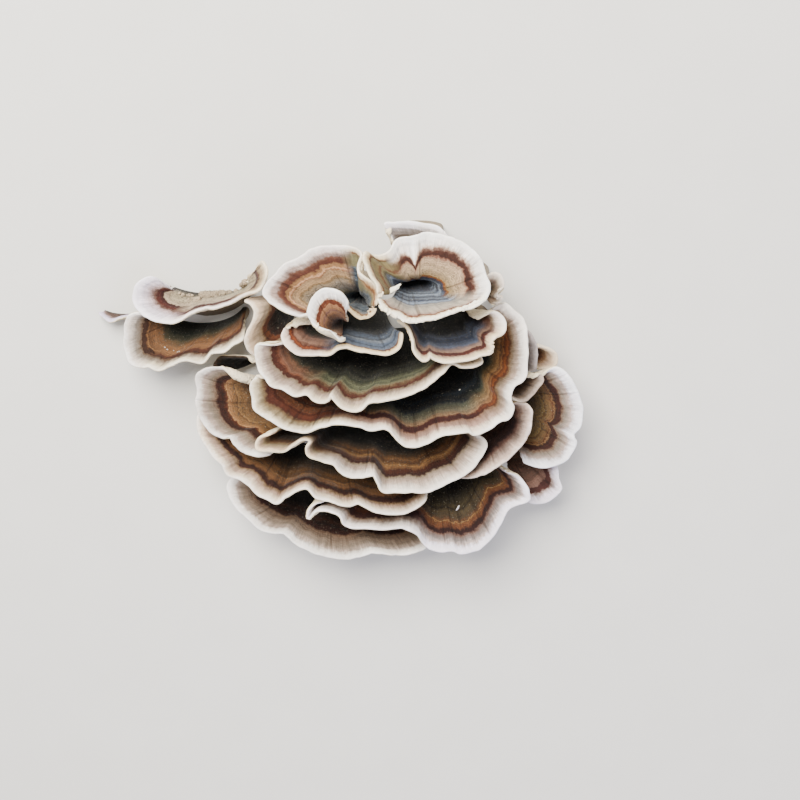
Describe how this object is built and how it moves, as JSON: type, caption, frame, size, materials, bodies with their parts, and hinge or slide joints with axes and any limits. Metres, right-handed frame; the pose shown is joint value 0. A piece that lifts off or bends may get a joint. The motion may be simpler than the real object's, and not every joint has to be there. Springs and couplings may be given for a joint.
{
  "type": "turkey tail fungus",
  "caption": "Cluster of thin, wavy, banded bracket-fungus caps in overlapping tiers, cut off flat at the base and resting on the cut.",
  "frame": {"origin": "on the flat cut, in the cut face of the third tier, near the middle of the main cluster", "axes": "+X across the cluster, +Y up it as it grew, +Z out of the surface it grew on, so the part lies on its cut at Z = 0"},
  "size_m": [0.1881, 0.1408, 0.0541],
  "materials": {
    "top_left_cap": "velvety, dull",
    "top_right_cap": "velvety, dull",
    "top_back_cap": "velvety, dull",
    "curled_cap": "velvety, dull",
    "right_upper_lobe": "velvety, dull",
    "upper_left_cap": "velvety, dull",
    "upper_right_cap": "velvety, dull",
    "left_shoulder_cap": "velvety, dull",
    "second_cap": "velvety, dull",
    "third_cap": "velvety, dull",
    "right_crescent": "velvety, dull",
    "small_right_lobe": "velvety, dull",
    "far_right_knob": "velvety, dull",
    "far_right_cap": "velvety, dull",
    "right_middle_cap": "velvety, dull",
    "left_cap": "velvety, dull",
    "shaded_cap": "velvety, dull",
    "fourth_cap": "velvety, dull",
    "fifth_cap": "velvety, dull",
    "sixth_cap": "velvety, dull",
    "lower_right_lobe": "velvety, dull",
    "bottom_cap": "velvety, dull",
    "outer_left_upper_cap": "velvety, dull",
    "outer_left_lower_cap": "velvety, dull",
    "outer_left_tip": "velvety, dull"
  },
  "bodies": {
    "root": {"top_left_cap": "top_left_cap", "top_right_cap": "top_right_cap", "top_back_cap": "top_back_cap", "curled_cap": "curled_cap", "right_upper_lobe": "right_upper_lobe", "upper_left_cap": "upper_left_cap", "upper_right_cap": "upper_right_cap", "left_shoulder_cap": "left_shoulder_cap", "second_cap": "second_cap", "third_cap": "third_cap", "right_crescent": "right_crescent", "small_right_lobe": "small_right_lobe", "far_right_knob": "far_right_knob", "far_right_cap": "far_right_cap", "right_middle_cap": "right_middle_cap", "left_cap": "left_cap", "shaded_cap": "shaded_cap", "fourth_cap": "fourth_cap", "fifth_cap": "fifth_cap", "sixth_cap": "sixth_cap", "lower_right_lobe": "lower_right_lobe", "bottom_cap": "bottom_cap", "outer_left_upper_cap": "outer_left_upper_cap", "outer_left_lower_cap": "outer_left_lower_cap", "outer_left_tip": "outer_left_tip"}
  },
  "joints": []
}
